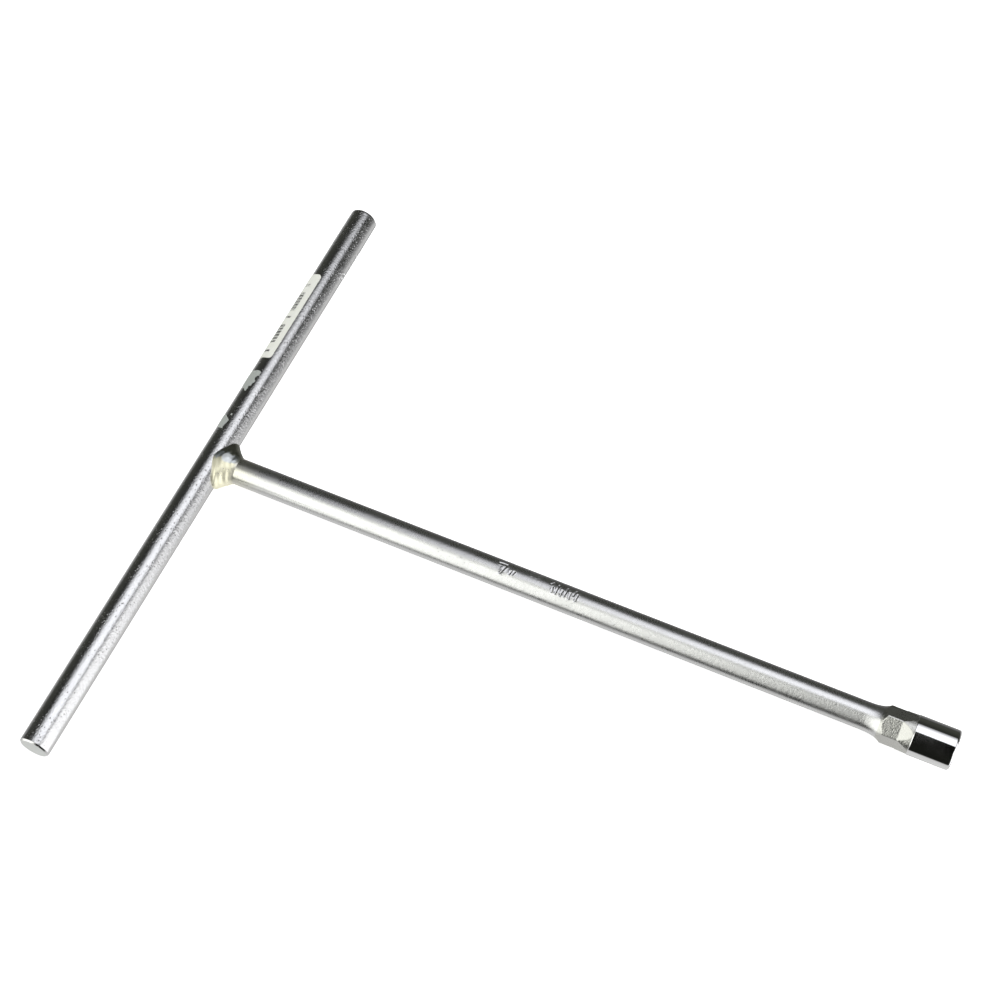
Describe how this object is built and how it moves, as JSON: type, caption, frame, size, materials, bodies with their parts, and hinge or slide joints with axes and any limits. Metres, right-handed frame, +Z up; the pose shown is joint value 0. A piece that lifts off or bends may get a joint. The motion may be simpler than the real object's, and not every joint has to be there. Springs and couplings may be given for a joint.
{
  "type": "t-handle socket wrench",
  "caption": "T-handle wrench: a round crossbar welded square across the end of a long round shank that ends in a hexagon collar and a small hexagon socket.",
  "frame": {"origin": "where the axis of the crossbar and the axis of the shank cross", "axes": "+X along the shank towards the socket, +Y along the crossbar towards the arm with the label, +Z up from the surface that the wrench lies on"},
  "size_m": [0.231, 0.2, 0.0114],
  "materials": {
    "bar_chrome": "bright chrome plating over cold-drawn bar, with faint pits and drawing lines",
    "shank_chrome": "satin chrome plating over forged rod, with a mirror-polished socket barrel",
    "weld_chrome": "chrome plating over a rippled weld bead, slightly yellow",
    "label_paper": "white coated paper with faint grey print",
    "sticker_foil": "torn silver foil"
  },
  "bodies": {
    "root": {"crossbar": "bar_chrome", "shank": "shank_chrome", "weld_bead_near": "weld_chrome", "weld_bead_far": "weld_chrome", "paper_label": "label_paper", "foil_remnants": "sticker_foil"}
  },
  "joints": []
}
